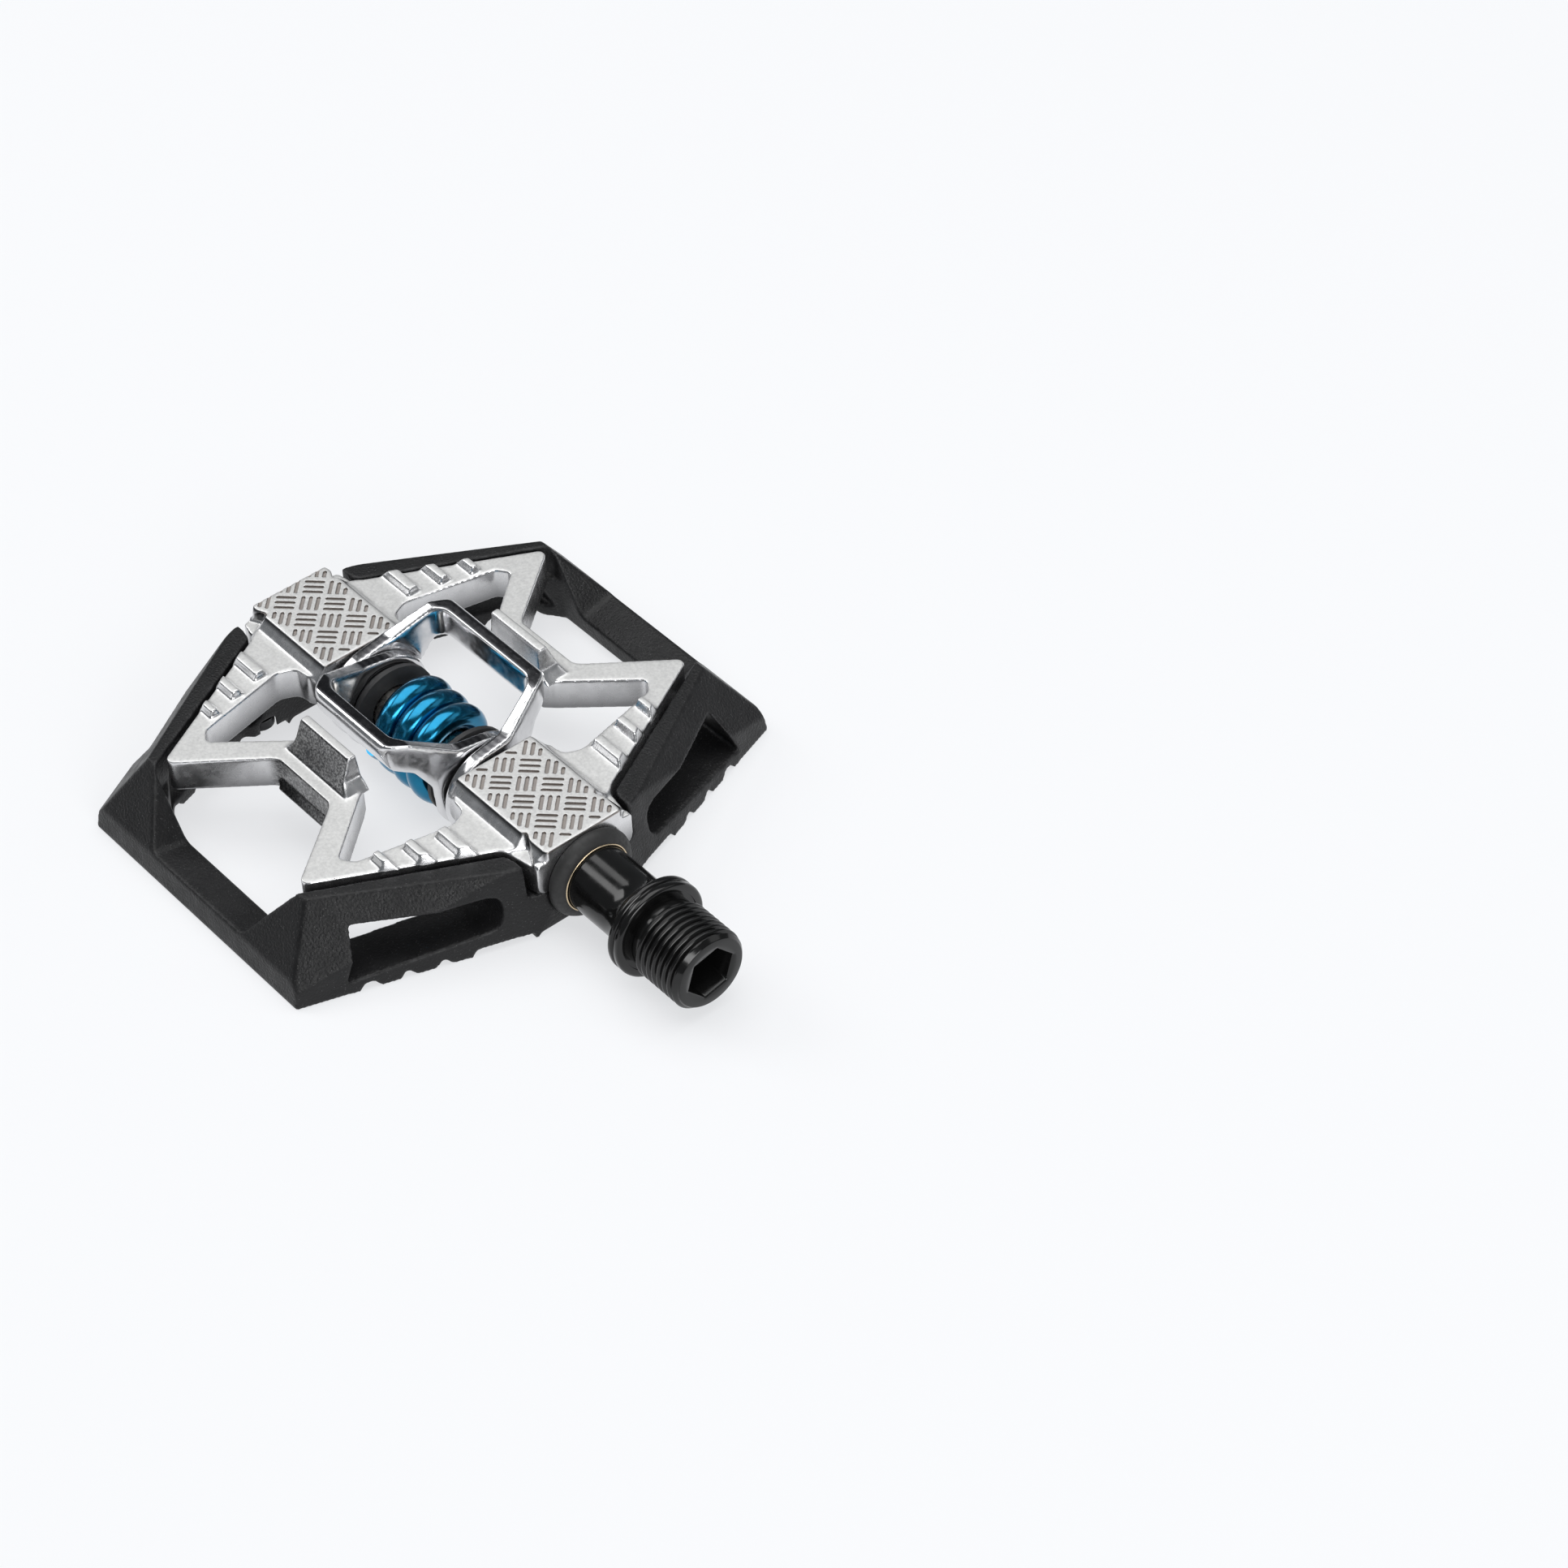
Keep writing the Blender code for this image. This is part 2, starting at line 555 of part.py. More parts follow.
def bearing():
    """The small ball bearing at the outer end: two races and a ring of balls."""
    low = -32.2
    high = -28.5
    middle = (low + high) / 2
    finish(tube("bearing_outer_race", 5.75, 5.35, low, high), "bearing_outer_race", (0.6, 0.6, 0.6), 1.0, 0.2)
    finish(tube("bearing_inner_race", 3.55, 3.1, low, high), "bearing_inner_race", (0.6, 0.6, 0.6), 1.0, 0.2)
    for number in range(8):
        angle = 2 * math.pi * number / 8
        shape = bmesh.new()
        bmesh.ops.create_uvsphere(shape, u_segments=10, v_segments=6, radius=0.7 * MM)
        mesh = bpy.data.meshes.new("ball")
        shape.to_mesh(mesh)
        shape.free()
        centre = Vector((middle, 4.45 * math.cos(angle), AXIS_Z + 4.45 * math.sin(angle))) * MM
        mesh.transform(Matrix.Translation(centre))
        ball = place("ball", mesh)
        axis_origin(finish(ball, f"bearing_ball_{number + 1}", (0.7, 0.7, 0.7), 1.0, 0.1))


def hub_pieces():
    finish(tube("hub_tube", TUBE_RADIUS, 3.6, -27.8, 24.1), "hub_tube", (0.5, 0.5, 0.5), 1.0, 0.3)
    finish(tube("plain_bush", 5.7, 5.3, 25.4, 41.0), "plain_bush", (0.6, 0.45, 0.2), 0.6, 0.4)
    finish(tube("spindle_washer", 3.9, 2.2, -33.1, -32.9), "spindle_washer", (0.6, 0.6, 0.6), 1.0, 0.3)
    hexagon = [(3.9 * y, AXIS_Z + 3.9 * z) for y, z in polygon(6)]
    nut = prism("spindle_locknut", hexagon, -35.7, -33.4, "X")
    nut = frozen(boolean(nut, [rod("nut_bore", 2.2, -40, -30, steps=24)], "DIFFERENCE"))
    finish(nut, "spindle_locknut", (0.55, 0.55, 0.55), 1.0, 0.3)


def cage_screws():
    """Four hex socket screws which hold the cage to the chassis from below."""
    signs = ((1, 1), (-1, 1), (-1, -1), (1, -1))
    for number, (sign_x, sign_y) in enumerate(signs):
        middle = (SCREW_XY[0] * sign_x, SCREW_XY[1] * sign_y)
        shank = cylinder("screw", 1.25, 2.0, 12.8, middle)
        head = cylinder("screw_head", 2.5, 1.5, 3.3, middle)
        hexagon = [(middle[0] + 1.15 * x, middle[1] + 1.15 * y) for x, y in polygon(6)]
        socket = prism("screw_socket", hexagon, 0, 2.7)
        screw = frozen(boolean(shank, [head], "UNION"))
        screw = frozen(boolean(screw, [socket], "DIFFERENCE"))
        finish(screw, f"cage_screw_{number + 1}", (0.1, 0.1, 0.1), 1.0, 0.35)


def centre_on_origin():
    """Moves every piece along X, so the origin is the middle of the pedal's length, on the floor."""
    for thing in PARTS.objects:
        thing.location.x -= CENTRE_X * MM


def build():
    cage()
    chassis()
    wing("wing_inner", 12.0, 14.6, -1, 11.8)
    wing("wing_outer", 14.9, 17.5, 1, 14.6)
    torsion_spring()
    pivot_sleeve("pivot_sleeve_crank", 1)
    pivot_sleeve("pivot_sleeve_cap", -1)
    spindle()
    seals()
    end_cap()
    bearing()
    hub_pieces()
    cage_screws()
    centre_on_origin()


build()
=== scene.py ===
"""Looks for a clipless bicycle pedal: procedural metals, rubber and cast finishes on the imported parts.

Lengths named *_MM are in millimetres, and MM turns them into metres. X runs along the spindle to the
crank, and Z is up on the clip side.
"""

import math

import bpy
from mathutils import Matrix, Vector

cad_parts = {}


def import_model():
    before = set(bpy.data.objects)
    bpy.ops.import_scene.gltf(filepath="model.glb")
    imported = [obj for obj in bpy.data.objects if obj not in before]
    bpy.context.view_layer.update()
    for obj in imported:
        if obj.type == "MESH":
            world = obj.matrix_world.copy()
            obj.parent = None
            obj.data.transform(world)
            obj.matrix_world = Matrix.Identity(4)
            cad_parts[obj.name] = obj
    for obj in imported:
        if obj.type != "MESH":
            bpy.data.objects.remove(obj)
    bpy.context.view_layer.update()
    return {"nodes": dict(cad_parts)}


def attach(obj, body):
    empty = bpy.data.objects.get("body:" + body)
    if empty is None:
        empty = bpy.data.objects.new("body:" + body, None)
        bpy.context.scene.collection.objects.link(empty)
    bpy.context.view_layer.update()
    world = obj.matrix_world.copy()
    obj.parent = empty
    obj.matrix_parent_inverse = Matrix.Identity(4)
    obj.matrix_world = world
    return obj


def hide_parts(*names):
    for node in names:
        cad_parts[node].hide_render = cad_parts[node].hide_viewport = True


MM = 0.001

# Where the camera stands, and how it is turned: degrees round the object, above the floor, and rolled.
CAMERA_AT = Vector((428.3, -282.0, 490.9)) * MM
CAMERA_AZIMUTH = 51.28
CAMERA_ELEVATION = 43.46
CAMERA_ROLL = -2.35
CAMERA_LENS = 98.9

# The pedal's own sizes. X_MIDDLE_MM is the body's centre, behind the middle of the whole length, and the X
# values of the spindle are from there. Flanks darken with a painted dark reflection from ARM_TOP_MM down
# to FLANK_DARK_MM.
X_MIDDLE_MM = -16.05
AXIS_Z_MM = 9.0
FLANK_DARK_MM = 9.6
ARM_TOP_MM = 15.2
PAD_TOP_MM = 17.4
PAD_INNER_MM = 18.0
PAD_HALF_LENGTH_MM = 11.7
PAD_HALF_WIDTH_MM = 7.4
# The pads' basket weave: cells of three slots each.
WEAVE_CELL_MM = 4.2
SLOT_LENGTH_MM = 3.5
SLOT_WIDTH_MM = 0.62
SLOT_PITCH_MM = 1.3
SLOT_DEPTH_MM = 0.35
# The upturned lips, from Y and to Y on either side, and half their length along X.
LIP_FROM_MM = 19.6
LIP_TO_MM = 27.0
LIP_HALF_LENGTH_MM = 7.75
# The spindle, its 9/16 inch thread of 20 turns to the inch, and its hex socket.
SPINDLE_END_MM = 72.6
NECK_RADIUS_MM = 5.95
THREAD_RADIUS_MM = 7.145
THREAD_DEPTH_MM = 0.68
THREAD_PITCH_MM = 1.27
THREAD_TURNS = 8
HEX_KEY_MM = 8.0
HEX_TURN = math.radians(12)
# The floor's own light, which keeps the shadows on it faint.
FLOOR_GLOW = 0.66


class Look:
    """A material, its Principled shader, and short calls for the nodes that feed it."""

    def __init__(self, name, colour, metallic, roughness, **inputs):
        self.material = bpy.data.materials.new(name)
        self.material.use_nodes = True
        self.tree = self.material.node_tree
        self.shader = self.tree.nodes["Principled BSDF"]
        self.shader.inputs["Base Color"].default_value = (*colour, 1)
        self.shader.inputs["Metallic"].default_value = metallic
        self.shader.inputs["Roughness"].default_value = roughness
        for label, value in inputs.items():
            self.shader.inputs[label.replace("_", " ")].default_value = value
        self.place = self.tree.nodes.new("ShaderNodeTexCoord").outputs["Object"]

    def node(self, kind, links=(), **settings):
        made = self.tree.nodes.new("ShaderNode" + kind)
        for key, value in settings.items():
            setattr(made, key, value)
        for socket, source in dict(links).items():
            if isinstance(source, bpy.types.NodeSocket):
                self.tree.links.new(source, made.inputs[socket])
            else:
                made.inputs[socket].default_value = source
        return made

    def noise(self, size_mm, detail=2.0, stretch=(1, 1, 1)):
        """Soft noise whose patches are about size_mm across, as a value near 0.5."""
        place = self.node("Mapping", {"Vector": self.place, "Scale": stretch}).outputs["Vector"]
        links = {"Vector": place, "Scale": 1 / (size_mm * MM), "Detail": detail}
        return self.node("TexNoise", links).outputs["Fac"]

    def cells(self, size_mm):
        """Distance from the nearest of many scattered points, about size_mm apart."""
        links = {"Vector": self.place, "Scale": 1 / (size_mm * MM)}
        return self.node("TexVoronoi", links).outputs["Distance"]

    def math(self, operation, a, b=0.0):
        return self.node("Math", {0: a, 1: b}, operation=operation).outputs[0]

    def product(self, first, *rest):
        for other in rest:
            first = self.math("MULTIPLY", first, other)
        return first

    def ramp(self, value, low, high, to_low=0.0, to_high=1.0):
        """Turns value from low..high into to_low..to_high, held at both ends."""
        links = {"Value": value, "From Min": low, "From Max": high, "To Min": to_low, "To Max": to_high}
        return self.node("MapRange", links).outputs["Result"]

    def mix(self, share, a, b):
        """The colour a where share is 0 and b where it is 1."""
        made = self.node("Mix", data_type="RGBA")
        for index, source in ((0, share), (6, a), (7, b)):
            if isinstance(source, bpy.types.NodeSocket):
                self.tree.links.new(source, made.inputs[index])
            else:
                made.inputs[index].default_value = source if index == 0 else (*source, 1)
        return made.outputs[2]

    def feed(self, label, source):
        self.tree.links.new(source, self.shader.inputs[label])
        return self

    def bump(self, height, depth_mm, strength=1.0):
        """Adds a bump of that depth under the bumps already there."""
        links = {"Height": height, "Distance": depth_mm * MM, "Strength": strength}
        made = self.node("Bump", links)
        if self.shader.inputs["Normal"].is_linked:
            self.tree.links.new(self.shader.inputs["Normal"].links[0].from_socket, made.inputs["Normal"])
        self.feed("Normal", made.outputs["Normal"])
        return self

    def edges(self, radius_mm):
        """1 on the rounded edges of the piece and 0 on its flat faces."""
        soft = self.node("Bevel", {"Radius": radius_mm * MM}, samples=4).outputs["Normal"]
        sharp = self.node("NewGeometry").outputs["Normal"]
        match = self.node("VectorMath", {0: soft, 1: sharp}, operation="DOT_PRODUCT").outputs["Value"]
        return self.ramp(match, 1.0, 0.93)


def cast_black():
    """Painted die-cast body: satin black with a fine raised grain dotted with painted glints, rubbed grey
    along its edges.
    """
    look = Look("cast_black", (0.01, 0.01, 0.011), 0.0, 0.42, Specular_IOR_Level=0.28)
    grain = look.noise(0.42, detail=3.0)
    patches = look.noise(9.0)
    wear = look.math("MULTIPLY", look.edges(0.7), look.ramp(look.noise(1.6, 4.0), 0.46, 0.62))
    colour = look.mix(look.ramp(patches, 0.35, 0.65), (0.006, 0.006, 0.0065), (0.0095, 0.0095, 0.01))
    # Tiny painted glints scattered over the grain.
    specks = look.ramp(look.cells(0.6), 0.16, 0.06)
    colour = look.mix(specks, colour, (0.075, 0.075, 0.077))
    look.feed("Base Color", look.mix(wear, colour, (0.04, 0.04, 0.042)))
    look.feed("Roughness", look.ramp(look.noise(2.5, 4.0), 0.3, 0.7, 0.34, 0.48))
    return look.bump(grain, 0.13, 1.0).material


def slot_shade(look, height, across):
    """1 on the walls and floors of the slots in the pads, which get painted shade."""
    floor_mm = PAD_TOP_MM - SLOT_DEPTH_MM
    deep = look.ramp(height, PAD_TOP_MM - 0.04, PAD_TOP_MM - 0.2)
    above = look.ramp(height, floor_mm - 0.12, floor_mm - 0.05)
    inside = look.ramp(across, PAD_HALF_WIDTH_MM, PAD_HALF_WIDTH_MM - 0.1)
    return look.product(deep, above, inside)


def lip_faces(look, middle, across, sideways):
    """1 on the faces of the lips that look along Y."""
    beyond = look.ramp(across, LIP_FROM_MM - 0.3, LIP_FROM_MM + 0.3)
    short_of = look.ramp(across, LIP_TO_MM + 0.5, LIP_TO_MM - 0.5)
    within = look.ramp(middle, LIP_HALF_LENGTH_MM + 0.75, LIP_HALF_LENGTH_MM - 0.75)
    return look.product(sideways, beyond, short_of, within)


def pad_side_reflection(look, height, across, sideways):
    """1 on the long upright sides of the pads, over the arms, which get a painted dark reflection."""
    outer = look.ramp(across, PAD_HALF_WIDTH_MM + 0.8, PAD_HALF_WIDTH_MM + 0.3)
    inner = look.ramp(across, PAD_HALF_WIDTH_MM - 0.8, PAD_HALF_WIDTH_MM - 0.4)
    raised = look.ramp(height, ARM_TOP_MM - 0.2, ARM_TOP_MM + 0.2)
    return look.product(sideways, outer, inner, raised)


def silver_colour(look, upward, sideways, mottle, clouds):
    """Mottled tops, brighter flanks with painted dark reflection low down and on the pad sides, gritty
    lips, painted shade in slots.
    """
    place = look.node("SeparateXYZ", {"Vector": look.place})
    height = look.math("DIVIDE", place.outputs["Z"], MM)
    across = look.math("ABSOLUTE", look.math("DIVIDE", place.outputs["Y"], MM))
    along = look.math("SUBTRACT", look.math("DIVIDE", place.outputs["X"], MM), X_MIDDLE_MM)
    middle = look.math("ABSOLUTE", along)
    tumbled = look.mix(look.ramp(mottle, 0.3, 0.7), (0.53, 0.53, 0.525), (0.66, 0.66, 0.65))
    polished = look.mix(look.ramp(clouds, 0.3, 0.7), (0.7, 0.7, 0.71), (0.78, 0.78, 0.785))
    # The flanks darken downwards: a painted dark reflection.
    polished = look.mix(look.ramp(height, FLANK_DARK_MM, ARM_TOP_MM - 0.8), (0.22, 0.22, 0.225), polished)
    grit = look.mix(look.ramp(look.noise(0.35, 3.0), 0.4, 0.62), (0.09, 0.09, 0.092), (0.3, 0.3, 0.3))
    metal = look.mix(upward, polished, tumbled)
    metal = look.mix(lip_faces(look, middle, across, sideways), metal, grit)
    # The pads' long sides get a painted dark reflection.
    metal = look.mix(pad_side_reflection(look, height, across, sideways), metal, (0.1, 0.1, 0.103))
    # Painted shade in the slots.
    return look.mix(slot_shade(look, height, across), metal, (0.33, 0.3, 0.28))


def cast_silver():
    """Bright aluminium: tumbled tops with fine mottling, polished flanks with painted dark reflection, and
    painted shade in the pad slots.
    """
    look = Look("cast_silver", (0.85, 0.85, 0.84), 0.9, 0.4)
    facing = look.node("SeparateXYZ", {"Vector": look.node("NewGeometry").outputs["Normal"]})
    upward = look.ramp(facing.outputs["Z"], 0.75, 0.97)
    sideways = look.ramp(look.math("ABSOLUTE", facing.outputs["Y"]), 0.45, 0.7)
    mottle = look.noise(0.5, detail=4.0)
    clouds = look.noise(4.0, detail=3.0)
    look.feed("Base Color", silver_colour(look, upward, sideways, mottle, clouds))
    look.feed("Metallic", look.ramp(upward, 0.0, 1.0, 0.98, 0.5))
    rough = look.ramp(look.noise(1.8, 3.0), 0.3, 0.7, 0.0, 0.12)
    look.feed("Roughness", look.math("ADD", rough, look.ramp(upward, 0.0, 1.0, 0.2, 0.42)))
    look.bump(mottle, 0.012, 0.5)
    return look.bump(clouds, 0.02, 0.2).material


def polished_steel():
    """Stainless steel wings: mirror-like with pin-prick pits and light rub marks, and a painted dark
    reflection with painted glints on their upward tops.
    """
    look = Look("polished_steel", (0.7, 0.7, 0.71), 1.0, 0.2)
    pits = look.ramp(look.cells(0.6), 0.0, 0.1)
    facing = look.node("SeparateXYZ", {"Vector": look.node("NewGeometry").outputs["Normal"]})
    upward = look.ramp(facing.outputs["Z"], 0.93, 0.985)
    bright = look.mix(look.noise(3.0, 3.0), (0.68, 0.68, 0.69), (0.78, 0.78, 0.79))
    # Upward tops get a painted dark reflection, dotted with painted glints.
    dark = look.mix(look.ramp(look.cells(0.45), 0.12, 0.04), (0.07, 0.07, 0.075), (0.5, 0.5, 0.5))
    look.feed("Base Color", look.mix(upward, bright, dark))
    look.feed("Roughness", look.ramp(look.noise(1.2, 4.0), 0.3, 0.7, 0.12, 0.26))
    look.bump(pits, 0.02, 0.6)
    return look.bump(look.noise(1.3, 3.0), 0.012, 0.4).material


def blue_steel():
    """Blue anodised spring wire, with small changes of shade under a clear gloss."""
    look = Look("blue_steel", (0.01, 0.15, 0.3), 1.0, 0.2, Coat_Weight=0.35, Coat_Roughness=0.12)
    shade = look.noise(2.2, 3.0)
    look.feed("Base Color", look.mix(shade, (0.002, 0.13, 0.25), (0.006, 0.2, 0.36)))
    look.feed("Roughness", look.ramp(look.noise(0.8, 3.0), 0.3, 0.7, 0.14, 0.26))
    return look.bump(look.noise(0.6, 3.0), 0.008, 0.35).material


def black_plastic():
    """Matte moulded nylon with a soft eggshell grain."""
    look = Look("black_plastic", (0.02, 0.02, 0.021), 0.0, 0.55)
    grain = look.noise(0.3, detail=3.0)
    look.feed("Base Color", look.mix(look.noise(4.0), (0.014, 0.014, 0.015), (0.026, 0.026, 0.027)))
    look.feed("Roughness", look.ramp(look.noise(1.5), 0.3, 0.7, 0.48, 0.64))
    return look.bump(grain, 0.02, 0.5).material


def black_rubber():
    """Seal rubber: dull, with a faint bloom."""
    look = Look("black_rubber", (0.022, 0.022, 0.022), 0.0, 0.62)
    look.feed("Base Color", look.mix(look.noise(2.5, 4.0), (0.01, 0.01, 0.01), (0.02, 0.02, 0.02)))
    look.feed("Roughness", look.ramp(look.noise(0.9, 3.0), 0.3, 0.7, 0.5, 0.7))
    return look.bump(look.noise(0.25, 3.0), 0.015, 0.5).material


def gloss_black():
    """Black oxide steel spindle: glossy, with fine turning lines round it."""
    look = Look("gloss_black", (0.004, 0.004, 0.004), 0.0, 0.2, Specular_IOR_Level=0.4)
    lines = look.noise(0.35, 2.0, stretch=(1, 0.02, 0.02))
    look.feed("Base Color", look.mix(look.noise(3.0, 3.0), (0.003, 0.003, 0.003), (0.007, 0.007, 0.007)))
    look.feed("Roughness", look.ramp(look.noise(1.4, 4.0), 0.3, 0.7, 0.1, 0.17))
    return look.bump(lines, 0.004, 0.25).material


def bare_steel(name="bare_steel", tint=(0.6, 0.58, 0.55)):
    """Turned bearing steel with fine lines round the spindle."""
    look = Look(name, tint, 1.0, 0.25)
    lines = look.noise(0.3, 2.0, stretch=(1, 0.03, 0.03))
    bright = tuple(min(1, c * 1.2) for c in tint)
    look.feed("Base Color", look.mix(look.noise(1.5, 3.0), tint, bright))
    look.feed("Roughness", look.ramp(look.noise(0.9, 3.0), 0.3, 0.7, 0.18, 0.36))
    return look.bump(lines, 0.008, 0.5).material


def cap_silver():
    """Satin nickel end cap, brushed along its length."""
    look = Look("cap_silver", (0.75, 0.75, 0.76), 0.9, 0.35)
    brushed = look.noise(0.4, 3.0, stretch=(1, 0.05, 1))
    look.feed("Base Color", look.mix(look.noise(2.0, 3.0), (0.68, 0.68, 0.69), (0.82, 0.82, 0.83)))
    look.feed("Roughness", look.ramp(brushed, 0.3, 0.7, 0.28, 0.42))
    return look.bump(brushed, 0.006, 0.5).material


def screw_black():
    """Black oxide screws, rubbed a little along their edges."""
    look = Look("screw_black", (0.03, 0.03, 0.032), 0.6, 0.4)
    wear = look.math("MULTIPLY", look.edges(0.25), look.ramp(look.noise(0.6, 3.0), 0.4, 0.6))
    look.feed("Base Color", look.mix(wear, (0.024, 0.024, 0.026), (0.2, 0.2, 0.2)))
    look.feed("Roughness", look.ramp(look.noise(0.5, 3.0), 0.3, 0.7, 0.3, 0.5))
    return look.bump(look.noise(0.2), 0.006, 0.5).material


def join(thing):
    """Rejoins the faces of a CAD node, which comes in with every triangle on its own."""
    weld = thing.modifiers.new("join", "WELD")
    weld.merge_threshold = 0.003 * MM


def smooth_faces(thing, width_mm=0.0):
    """Shades the curved faces of a turned part smoothly, and rounds its edges if asked."""
    for face in thing.data.polygons:
        face.use_smooth = True
    join(thing)
    flat = thing.modifiers.new("flat_faces", "DECIMATE")
    flat.decimate_type = "DISSOLVE"
    flat.angle_limit = math.radians(0.6)
    if width_mm:
        bevel = thing.modifiers.new("rounded_edges", "BEVEL")
        bevel.width = width_mm * MM
        bevel.segments = 2
        bevel.limit_method = "ANGLE"
    split = thing.modifiers.new("sharp_edges", "EDGE_SPLIT")
    split.split_angle = math.radians(32)
    normals = thing.modifiers.new("even_shading", "WEIGHTED_NORMAL")
    normals.keep_sharp = True


def eased(thing, rounds):
    ease = thing.modifiers.new("eased_edges", "SMOOTH")
    ease.factor = 0.5
    ease.iterations = rounds
    return ease


def cast_edges(thing, grain_mm, rounds):
    """Rounds every edge of a cast part, in and out, by remaking its skin finely and easing it."""
    join(thing)
    skin = thing.modifiers.new("fine_skin", "REMESH")
    skin.mode = "VOXEL"
    skin.voxel_size = grain_mm * MM
    skin.use_smooth_shade = True
    return eased(thing, rounds)


def pressed_edges(thing, grain_mm, plan_rounds, rounds):
    """Rounds a pressed part widely as seen from above, and then lightly all over."""
    cast_edges(thing, grain_mm, plan_rounds).use_z = False
    eased(thing, rounds)


def piece(name, mesh, material, body, *stands_for):
    """A detailed piece that rides on a body in place of the named CAD nodes."""
    thing = bpy.data.objects.new(name, mesh)
    bpy.context.scene.collection.objects.link(thing)
    mesh.materials.append(material)
    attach(thing, body)
    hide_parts(*stands_for)
    return thing


def spring_coil(material):
    """The torsion spring as one smooth wound wire, with its coils nearly touching."""
    wire = 2.18
    radius = 6.6
    turns = 3.35
    half = 7.5
    count = int(turns * 72)
    curve = bpy.data.curves.new("spring_coil", "CURVE")
    curve.dimensions = "3D"
    curve.bevel_depth = wire * MM
    curve.bevel_resolution = 8
    curve.use_fill_caps = True
    spline = curve.splines.new("POLY")
    spline.points.add(count)
    for index, spot in enumerate(spline.points):
        part = index / count
        angle = 2 * math.pi * turns * (part - 0.5) + math.pi / 2
        x = X_MIDDLE_MM - half + 2 * half * part
        y = radius * math.cos(angle)
        z = AXIS_Z_MM + radius * math.sin(angle)
        spot.co = (x * MM, y * MM, z * MM, 1)
    spline.use_smooth = True
    return piece("spring_coil", curve, material, "pedal_body", "torsion_spring")


def lathe(name, stations, sides, closed=False):
    """A skin through rings about the spindle axis, each (x, radius at an angle).

    Its two ends are filled, or joined to each other where closed is set.
    """
    points = []
    for x, radius in stations:
        for step in range(sides):
            angle = 2 * math.pi * step / sides
            reach = radius(angle)
            y = reach * math.cos(angle + HEX_TURN)
            z = AXIS_Z_MM + reach * math.sin(angle + HEX_TURN)
            points.append(((x + X_MIDDLE_MM) * MM, y * MM, z * MM))
    faces = []
    for ring in range(len(stations) - 1):
        for step in range(sides):
            after = (step + 1) % sides
            low = ring * sides
            faces.append((low + step, low + sides + step, low + sides + after, low + after))
    last = (len(stations) - 1) * sides
    if closed:
        for step in range(sides):
            after = (step + 1) % sides
            faces.append((last + step, step, after, last + after))
    else:
        faces.append(tuple(range(sides)))
        faces.append(tuple(last + step for step in reversed(range(sides))))
    mesh = bpy.data.meshes.new(name)
    mesh.from_pydata(points, [], faces)
    mesh.validate()
    return mesh


def hexagon(across):
    """Radius of a hexagon at an angle from one of its corners."""
    step = math.pi / 3
    return lambda angle: across / 2 / math.cos((angle % step) - step / 2)


def circle(radius):
    return lambda angle: radius


def thread(x, start):
    """Radius of the helical crank thread where it crosses x, with rounded crests and roots."""

    def radius(angle):
        phase = (start - x) / THREAD_PITCH_MM - angle / (2 * math.pi)
        cut = (0.5 - 0.5 * math.cos(2 * math.pi * phase)) ** 1.3
        full = THREAD_RADIUS_MM - THREAD_DEPTH_MM * cut
        chamfer = 6.3 + (SPINDLE_END_MM - x) * 0.9
        from_first = x - start + THREAD_TURNS * THREAD_PITCH_MM
        run_out = THREAD_RADIUS_MM - THREAD_DEPTH_MM + max(0.0, from_first) * 1.2
        return min(full, chamfer, run_out)

    return radius


def neck_stations():
    """The hidden end, the bearing seats and the neck, then its flare to the flange and a grooved rim."""
    hidden = [(-36.0, 1.9), (-32.6, 1.9), (-32.6, 2.8), (-27.9, 2.8), (-27.9, 3.3), (24.4, 3.3)]
    neck = [(25.2, 5.0), (41.3, 5.0), (41.6, NECK_RADIUS_MM), (53.0, NECK_RADIUS_MM)]
    flare = []
    for step in range(1, 13):
        angle = math.radians(7.5 * step)
        flare.append((57.3 - 4.2 * (1 - math.sin(angle)), 8.3 - 2.35 * math.cos(angle)))
    rim = [(57.55, 8.6), (57.8, 8.7), (58.3, 8.7), (58.45, 8.6), (58.6, 8.35), (58.85, 8.35)]
    rim += [(59.0, 8.6), (59.15, 8.7), (59.8, 8.7), (60.1, 8.6), (60.3, 8.25), (60.3, 7.3)]
    relief = [(60.1, 7.25), (60.1, 6.46), (60.9, 6.46)]
    return [(x, circle(radius)) for x, radius in hidden + neck + flare + rim + relief]


def socket_stations():
    """The end face and the hex socket sunk in it."""
    end = SPINDLE_END_MM
    face = [(end, circle(6.2)), (end, circle(5.2)), (end, hexagon(HEX_KEY_MM + 0.5))]
    walls = [(end - 0.3, hexagon(HEX_KEY_MM)), (end - 8.4, hexagon(HEX_KEY_MM))]
    return face + walls + [(end - 8.5, hexagon(HEX_KEY_MM - 0.4)), (end - 9.0, circle(0.3))]


def thread_stations():
    """Rings close enough together to carry the thread."""
    first = 61.0
    steps = 16 * (THREAD_TURNS + 1)
    stations = []
    for step in range(steps):
        x = first + (SPINDLE_END_MM - 0.05 - first) * step / (steps - 1)
        stations.append((x, thread(x, SPINDLE_END_MM - 0.3)))
    return stations


def threaded_spindle(material):
    """The whole spindle as one skin, from its hidden end to the socket."""
    mesh = lathe("threaded_spindle", neck_stations() + thread_stations() + socket_stations(), 120)
    mesh.shade_smooth()
    mesh.set_sharp_from_angle(angle=math.radians(57))
    return piece("threaded_spindle", mesh, material, "spindle_assembly", "spindle")


